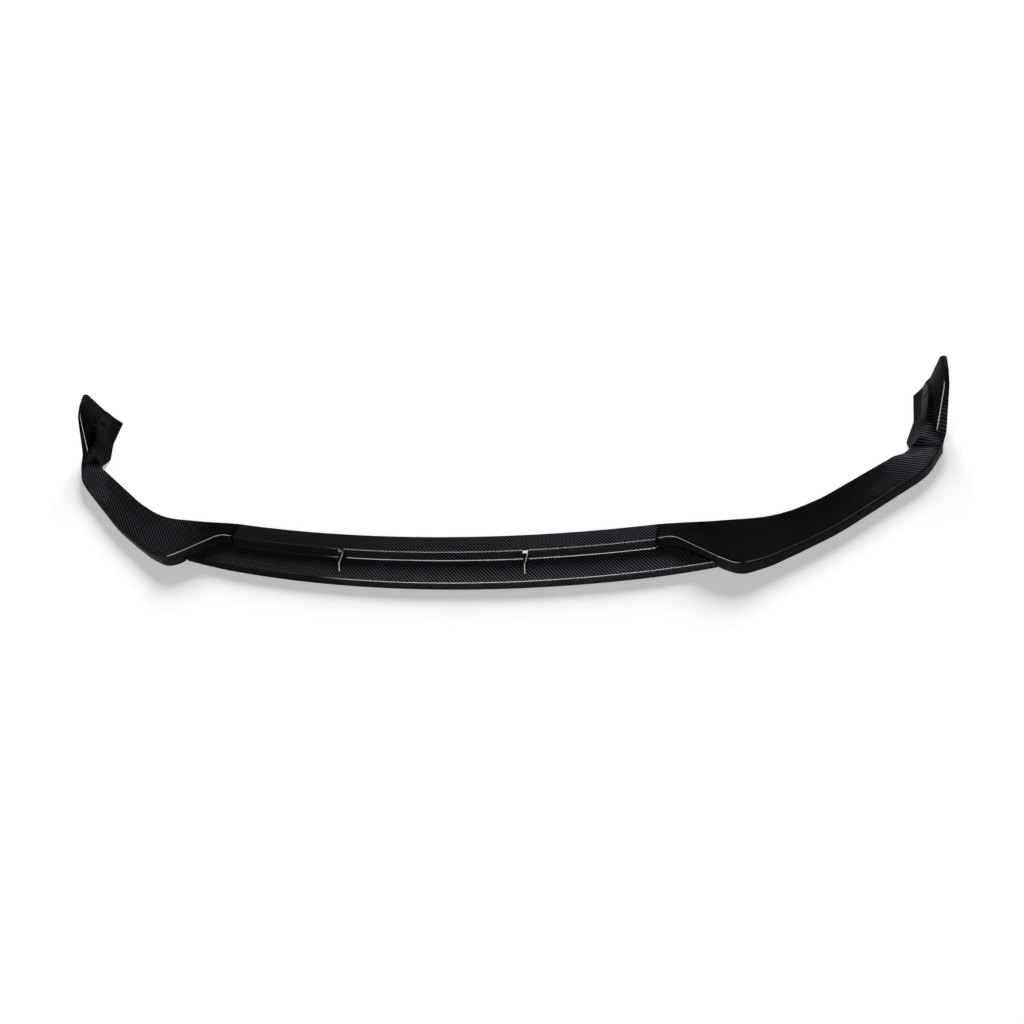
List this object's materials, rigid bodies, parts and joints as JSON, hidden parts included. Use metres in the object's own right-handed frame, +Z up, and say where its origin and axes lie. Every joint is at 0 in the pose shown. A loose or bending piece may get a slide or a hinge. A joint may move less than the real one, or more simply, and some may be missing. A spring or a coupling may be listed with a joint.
{
  "type": "front splitter lip",
  "caption": "Low moulded lip for the bottom of a front bumper, with a recessed centre ramp, small air fins and upturned ends.",
  "frame": {"origin": "on the floor, midway between the front edge and the rear ends, on the middle plane of the car", "axes": "+X across the car, towards the right side section; +Y rearward, from the front edge towards the end fins; +Z up"},
  "size_m": [1.8176, 0.4437, 0.0992],
  "materials": {
    "lip_skin": "gloss carbon-look twill under a clear coat",
    "fastener": "black zinc, satin"
  },
  "bodies": {
    "root": {"centre_section": "lip_skin", "side_section_left": "lip_skin", "side_section_right": "lip_skin", "joint_bolts": "fastener", "joint_nuts": "fastener"}
  },
  "joints": []
}
